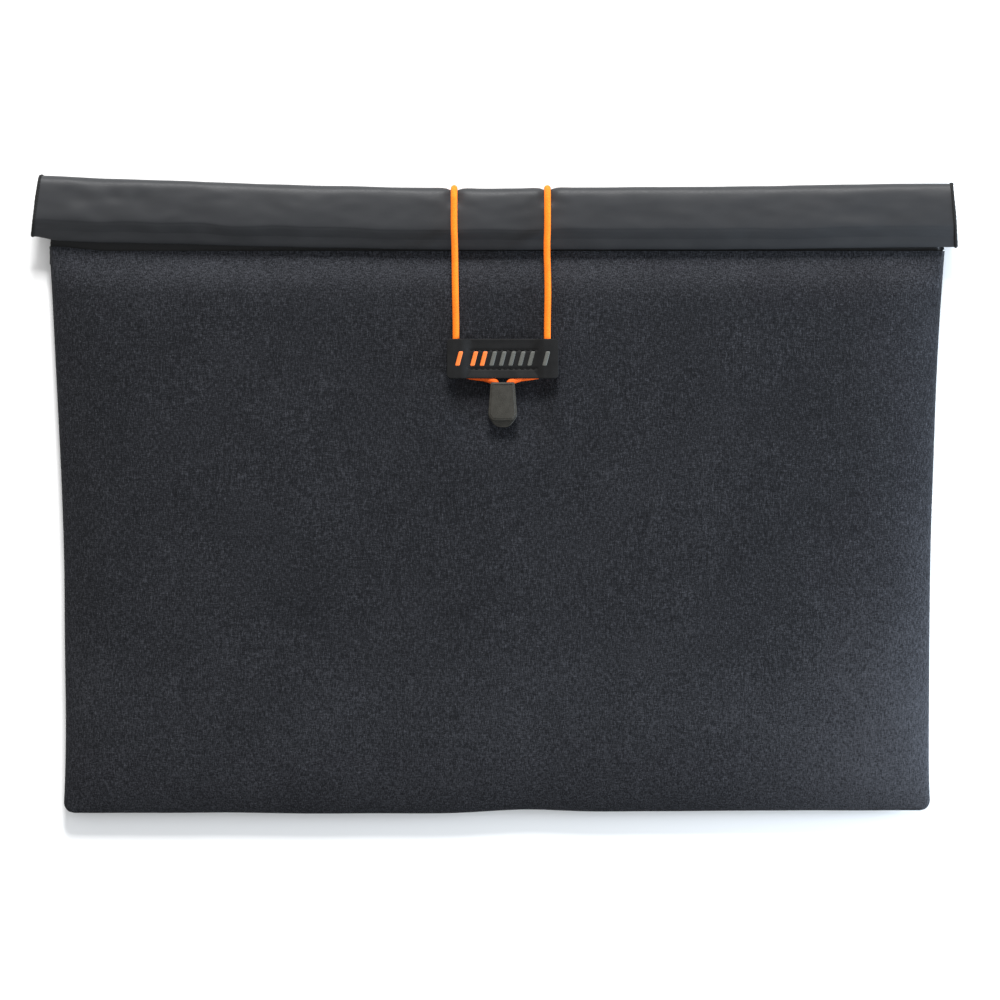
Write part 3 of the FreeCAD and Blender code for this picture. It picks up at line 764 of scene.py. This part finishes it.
def make_collar():
    """The collar's two nylon sheets and two linings, its hem, bound edges and stitching."""
    roll_out, hem_out = outer_sheet(ROLL_OUTER, 9), outer_sheet(HEM_OUTER, 7)
    roll_in, hem_in = inner_sheet(ROLL_INNER, 9, roll_out), inner_sheet(HEM_INNER, 7, hem_out)
    hem_out[0], hem_in[0] = roll_out[-1], roll_in[-1]
    wide = 2 * FLAT_HALF * MM
    roll_flat, hem_flat = (wide, path_length(ROLL_OUTER) * MM), (wide, path_length(HEM_OUTER) * MM)
    inner_flat, hem_inner_flat = (wide, path_length(ROLL_INNER) * MM), (wide, path_length(HEM_INNER) * MM)
    turning, hemming = ("pouch", "roll"), ("roll", "hem")
    outer_z, inner_z, lining_z = (6.4, 15.0), (10.3, 13.6), (9.3, 14.4)
    hem_z, hem_inner_z = (15.4, 11.6), (13.9, 12.7)
    collar_piece("collar_outer_nylon", roll_out, roll_out + grid_normals(roll_out) * NYLON_THICK,
                 ["collar_back_ply", "flap_outer_ply", "top_fold"], NYLON, True)
    # The inner sheet takes the darker nylon copy, as painted shade.
    collar_piece("collar_inner_nylon", roll_in, roll_in - grid_normals(roll_in) * NYLON_THICK,
                 ["collar_front_ply", "flap_inner_ply", "top_fold"], NYLON_PAINTED_SHADE,
                 False)
    collar_piece("hem_outer_nylon", hem_out, hem_out + grid_normals(hem_out) * NYLON_THICK,
                 ["lower_fold", "hem_back_ply"], NYLON, True)
    collar_piece("hem_inner_nylon", hem_in, hem_in - grid_normals(hem_in) * NYLON_THICK,
                 ["hem_front_ply"], NYLON, False)
    crop = slice(3, -3)
    for side, share, nodes, z_range, flip, flat in (
            ("outer", 0.16, ["collar_back_shield", "flap_outer_shield", "top_fold_shield"], outer_z, True,
             roll_flat),
            ("inner", 0.84, ["collar_front_shield", "flap_inner_shield", "top_fold_shield"], lining_z, False,
             inner_flat)):
        face = between(roll_out, roll_in, share)[:, crop]
        way = 1 if flip else -1
        back = face + grid_normals(face) * LINING_THICK * way
        collar_piece("collar_" + side + "_lining", face, back, nodes, SHIELD,
                     flip)
    for side, column in (("left", 0), ("right", -1)):
        side_binding("collar_binding_" + side, roll_out, roll_in, column,
                     ["collar_side_seam_" + side, "flap_side_seam_" + side], 10)
        side_binding("hem_binding_" + side, hem_out, hem_in, column, [])
    for name, grid, way in (("back", hem_out, -1), ("front", hem_in, 1)):
        row = grid[-22]
        thread_row("hem_thread_" + name, row + np.array([0, 0, way * 0.12]), 4.2, 3.0, 0.28,
                   ["hem_stitching"], hemming, hem_z if way < 0 else hem_inner_z)


def thread_row(name, line, pitch, long, radius, nodes, bodies, z_range):
    """One row of stitches, each a short rounded thread, as one piece. The row rides on one
    body where there is no z_range, and otherwise stays where it is made."""
    rings_each, sides = 7, 6
    last = (rings_each - 1) * sides
    even, along = resample(line[4:-4], 0.5)
    points, faces = [], []
    for start in np.arange(3.0, along[-1] - long, pitch):
        at = np.linspace(start, start + long, rings_each)
        thread = np.stack([np.interp(at, along, even[:, k]) for k in range(3)], axis=1)
        swell = radius * np.sqrt(1 - np.linspace(-0.96, 0.96, rings_each) ** 2)
        rings = tube_rings(thread, np.repeat(swell[:, None], sides, axis=1), sides, (0, 0, 1.0))
        first = len(points)
        points += rings.reshape(-1, 3).tolist()
        faces += quads(rings_each, sides, first, wrap=True)
        faces += [[first + c for c in range(sides)][::-1], [first + last + c for c in range(sides)]]
    piece = add(name, points, faces, THREAD)
    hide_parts(*nodes)
    if z_range is None:
        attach(piece, bodies)
    else:
        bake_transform(piece)


make_collar()

# ---------------------------------------------------------------- the rubber patch

PATCH_LOW, PATCH_HIGH = node_box("patch_centre")
PATCH_Y0, PATCH_Y1 = PATCH_LOW[1], PATCH_HIGH[1]
PATCH_BASE_Z, PATCH_TOP_Z = PATCH_LOW[2], PATCH_HIGH[2]
PATCH_HALF = node_box("patch_ear_right")[1][0] - CLOSURE_X
PATCH_CORNER = 2.2
PATCH_EDGE = 0.45
EAR_START = 15.6
STITCH_ROWS = (67.5, 77.3)


def patch_under(across, y):
    """The height of the patch's underside: up over the cord at its ends and lower edge."""
    ear = 2.05 * smooth((across - EAR_START) / 6.6) - 0.3 * smooth((across - 25) / 5)
    lower = 1.05 * smooth((67.6 - y) / 5.6) * (0.75 + 0.25 * smooth((across - 5) / 6))
    upper = 0.25 * smooth((y - 80.6) / 3)
    return PATCH_BASE_Z - 0.05 + np.maximum(np.maximum(ear, lower), upper)


def patch_outline():
    """Distances across, closer together at the end, and half heights there, for one half."""
    end = 3
    across = np.concatenate([np.linspace(0, PATCH_HALF - end, 80),
                             PATCH_HALF - end * (1 - np.sin(np.linspace(0.1, 1, 16) * math.pi / 2))])
    past = np.clip(across - (PATCH_HALF - PATCH_CORNER), 0, PATCH_CORNER)
    middle = (PATCH_Y1 - PATCH_Y0) / 2
    return across, middle - PATCH_CORNER + np.sqrt(PATCH_CORNER ** 2 - past ** 2)


def stitch_dimple(across, y):
    """The rubber sinks along each row of stitches."""
    rows = sum(bell(y - row, 0.7) for row in STITCH_ROWS)
    return 0.34 * rows * smooth((19.0 - across) / 0.8)


def make_patch():
    """The rubber patch's two halves, each sewn down at its middle and free at its ear."""
    middle = (PATCH_Y0 + PATCH_Y1) / 2
    v = np.sin(np.linspace(-1, 1, 70) * math.pi / 2) * 0.35 + np.linspace(-1, 1, 70) * 0.65
    across, reach = patch_outline()
    for side, way in (("left", -1), ("right", 1)):
        x = across[None, :] + 0 * v[:, None]
        y = middle + v[:, None] * reach[None, :]
        edge = np.minimum(reach[None, :] * (1 - np.abs(v[:, None])), PATCH_HALF - x)
        bevel = PATCH_EDGE * (1 - np.sqrt(1 - (1 - np.clip(edge / PATCH_EDGE, 0, 1)) ** 2))
        under = patch_under(x, y)
        top = under + (PATCH_TOP_Z - PATCH_BASE_Z) - bevel - stitch_dimple(x, y)
        face = np.stack([CLOSURE_X + way * x, y, top + 0.04 * waves(x, y, 5.0, 51)], axis=2)
        back = np.stack([CLOSURE_X + way * x, y, under + bevel], axis=2)
        piece = sandwich("patch_" + side, face, back, RUBBER, flip=way < 0)
        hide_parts("patch_centre", "patch_ear_" + side)
        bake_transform(piece)


def make_mark():
    """A generic row of slanted raised bars, the first ones orange."""
    low, high = node_box("patch_mark_right")
    pitch, ear = 5.0, (low[0] + high[0]) / 2 - CLOSURE_X
    tall, wide, slant = high[1] - low[1], 2.3, 2.0
    places = [-ear] + [n * pitch for n in range(-3, 4)] + [ear]
    for n, place in enumerate(places):
        u, v = np.meshgrid(np.linspace(-1, 1, 9), np.linspace(-1, 1, 25))
        narrow = 1 - 0.35 * np.clip((np.abs(v) - 0.9) / 0.1, 0, 1) ** 2
        x = place + u * wide / 2 * narrow + v * slant / 2
        y = (low[1] + high[1]) / 2 + v * tall / 2
        edge = np.clip(np.minimum((1 - np.abs(u)) * wide / 2, (1 - np.abs(v)) * tall / 2) / 0.3, 0, 1)
        under = patch_under(np.abs(x), y) + (PATCH_TOP_Z - PATCH_BASE_Z) - 0.15
        face = np.stack([CLOSURE_X + x, y, under + 0.2 + 0.26 * np.sqrt(1 - (1 - edge) ** 2)], axis=2)
        back = np.stack([CLOSURE_X + x, y, under], axis=2)
        piece = sandwich(f"mark_bar_{n + 1}", face, back, ORANGE_INK if n < 3 else PALE_INK)
        side = {0: "left", 8: "right"}.get(n)
        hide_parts("patch_mark_" + side if side else "patch_mark")
        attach(piece, "ear_" + side if side else "pouch")


def make_patch_stitches():
    """The two rows of thread that sew the patch's middle down."""
    first = CLOSURE_X - 17.6
    for n, row in enumerate(STITCH_ROWS):
        x = np.linspace(first - 4.9, first + 35.2 + 2.5, 90)
        z = PATCH_TOP_Z - 0.2 + 0.05 * np.sin(x)
        line = np.stack([x, 0 * x + row, z], axis=1)
        thread_row(f"patch_thread_{n + 1}", line, 3.0, 1.9, 0.3, ["patch_stitches"], "pouch", None)


make_patch()
make_mark()
make_patch_stitches()

# ---------------------------------------------------------------- the pull tab


def rounded(corners, radii, steps=7):
    """An outline with its corners rounded off, anticlockwise."""
    found = []
    count = len(corners)
    for n in range(count):
        before, here, after = (np.array(corners[(n + k) % count], float) for k in (-1, 0, 1))
        to_before, to_after = before - here, after - here
        reach = min(radii[n], 0.45 * np.linalg.norm(to_before), 0.45 * np.linalg.norm(to_after))
        start = here + to_before / np.linalg.norm(to_before) * reach
        end = here + to_after / np.linalg.norm(to_after) * reach
        for t in np.linspace(0, 1, steps):
            found.append((1 - t) ** 2 * start + 2 * t * (1 - t) * here + t ** 2 * end)
    return np.array(found)


def grown(outline, inset):
    """The outline moved in by a distance."""
    ahead = np.roll(outline, -1, axis=0) - np.roll(outline, 1, axis=0)
    inward = np.stack([-ahead[:, 1], ahead[:, 0]], axis=1)
    inward /= np.maximum(np.linalg.norm(inward, axis=1, keepdims=True), 1e-9)
    return outline + inward * inset


def stacked(name, outline, levels, material):
    """A solid from rings of one outline; each level is how far in it lies, and its height."""
    rings = [np.column_stack([grown(outline, inset), np.full(len(outline), z)]) for inset, z in levels]
    count = len(outline)
    points = np.concatenate(rings)
    faces = quads(len(rings), count, wrap=True)
    faces.append(list(range(count))[::-1])
    faces.append([(len(rings) - 1) * count + c for c in range(count)])
    return add(name, points, faces, material, 35.0)


def tab_half(name, node, low_y, chamfer, levels, radii):
    """One moulded half of the pull tab, from its own taper and corners."""
    top_y, wide_y = node_box(node)[1][1], 43.4
    top_half, low_half = 6.35, 7.6
    right = [(low_half - chamfer, low_y), (low_half, low_y + chamfer * 1.3), (low_half - 0.1, wide_y + 2),
             (top_half, top_y)]
    corners = [(CLOSURE_X + x, y) for x, y in right] + [(CLOSURE_X - x, y) for x, y in right[::-1]]
    piece = stacked(name, rounded(corners, radii + radii[::-1]), levels, TAB)
    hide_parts(node)
    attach(piece, "pull_tab")


def make_tab():
    """The pull tab's two halves; the back one is longer and shows as a lip below the front."""
    low_z, split, top_z = node_box("tab_back")[0][2], TAB_HINGE_Z, node_box("tab_front")[1][2]
    lip, front = node_box("tab_back")[0][1], node_box("tab_front")[0][1]
    tab_half("tab_front_shell", "tab_front", front, 2.2,
             [(0.0, split + 0.06), (0.0, top_z - 0.9), (0.18, top_z - 0.45), (0.55, top_z - 0.28),
              (0.95, top_z - 0.25), (1.2, top_z - 0.02), (1.5, top_z)], [1.0, 1.0, 3.0, 1.1])
    tab_half("tab_back_shell", "tab_back", lip, 4.2,
             [(0.7, low_z), (0.25, low_z + 0.2), (0.0, low_z + 0.7), (0.0, split - 0.35),
              (0.3, split - 0.06)], [2.5, 2.0, 3.0, 1.1])


make_tab()

# ---------------------------------------------------------------- the back anchor and inner tapes


def make_anchor():
    """The webbing patch behind, which holds the cord in its tunnel."""
    low, high = node_box("back_anchor")
    u, v = np.meshgrid(np.linspace(0, 1, 50), np.linspace(0, 1, 60))
    x, y = low[0] + u * (high[0] - low[0]), low[1] + v * (high[1] - low[1])
    middle = (low[1] + high[1]) / 2
    flange, tunnel_half, tunnel_z, highest = 3.3, 5.6, 0.14, 4.35
    away = np.abs(y - middle)
    z = flange - (flange - tunnel_z) * smooth((tunnel_half - away) / 3.0)
    z = z + 0.1 * np.sin(x * 2.6) * np.sin(y * 2.6) * smooth((away - 5) / 1)
    back = np.stack([x, y, np.minimum(z + 0.9, highest + 0 * z)], axis=2)
    back[..., 2] = np.where(away < tunnel_half, z + 0.28, back[..., 2])
    piece = sandwich("anchor_webbing", np.stack([x, y, z], axis=2), back, WEBBING, flip=True)
    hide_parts("back_anchor")
    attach(piece, "pouch")
    for n, row in enumerate((low[1] + 2, high[1] - 2)):
        across = np.linspace(low[0] - 3.5, high[0] + 1, 60)
        line = np.stack([across, 0 * across + row, 0 * across + flange - 0.1], axis=1)
        thread_row(f"anchor_thread_{n + 1}", line, 2.6, 1.8, 0.3, ["anchor_stitches"], "pouch", None)


def make_tapes():
    """The tapes that lie flat inside the side and bottom seams."""
    in_from, in_to, thick = 3.3, 8.0, 0.6
    t = np.linspace(0, 1, 7)[:, None]
    for side in ("left", "right", "bottom"):
        node = "seam_tape_" + side
        low, high = node_box(node)
        if side == "bottom":
            along = np.linspace(low[0] + 6, high[0] - 6, 260)[None, :]
            x, y = along + 0 * t, BOTTOM_Y + in_from + (in_to - in_from) * t + 0 * along
        else:
            way = -1 if side == "left" else 1
            along = np.linspace(low[1], high[1], 160)[None, :]
            y = along + 0 * t
            x = way * (half_width(y - BOTTOM_Y) - in_from - (in_to - in_from) * t)
        z = SEAM_Z + thick / 2 + 0.05 * np.sin(along * 1.5) + 0 * t
        face = np.stack([x, y, z], axis=2)
        back = face - np.array([0, 0, thick])
        piece = sandwich(node + "_strip", face, back, TAPE, flip=grid_normals(face)[3, 50, 2] < 0)
        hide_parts(node)
        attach(piece, "pouch")


make_anchor()
make_tapes()

# Two hard-edged pieces keep their CAD shape.
for node, finish in (("cord_crimp", METAL), ("patch_backing", WEBBING)):
    carried = frame["nodes"][node]
    carried.data.materials.clear()
    carried.data.materials.append(finish)


# ---------------------------------------------------------------- floor, light and the end


def make_stage():
    """A pale floor in a white studio, with one soft light above the top edge and a weak cool
    one at the right. Lengths in here are in metres."""
    floor_mesh = bpy.data.meshes.new("floor")
    far = 8.0
    corners = [(-far, -far, 0), (far, -far, 0), (far, far, 0), (-far, far, 0)]
    floor_mesh.from_pydata(corners, [], [(0, 1, 2, 3)])
    floor = bpy.data.objects.new("floor", floor_mesh)
    bpy.context.scene.collection.objects.link(floor)
    pale = Paint("floor")
    pale.shade(Base_Color=pale.ramp(pale.noise(400.0), [(0.0, 0.86), (1.0, 0.88)]), Roughness=0.9)
    floor_mesh.materials.append(pale.material)
    world = bpy.data.worlds.new("studio")
    world.use_nodes = True
    sky = world.node_tree.nodes["Background"]
    sky.inputs["Color"].default_value = (1.0, 1.0, 1.0, 1)
    sky.inputs["Strength"].default_value = 0.72
    bpy.context.scene.world = world
    lamps = (("key", (0.0, 2.12, 1.25), 0.6, 103.0, (1, 1, 1)),
             ("side", (0.75, -0.12, 0.17), 0.3, 10.0, (0.72, 0.86, 1)))
    aim = Vector((0, 0.05, 0))
    for name, place, size, power, tint in lamps:
        data = bpy.data.lights.new(name, "AREA")
        data.shape = "SQUARE"
        data.size = size
        data.energy = power
        data.color = tint
        light = bpy.data.objects.new(name, data)
        light.location = place
        light.rotation_euler = (aim - Vector(place)).to_track_quat("-Z", "Y").to_euler()
        bpy.context.scene.collection.objects.link(light)
    bpy.context.scene.view_settings.view_transform = "Standard"


make_stage()
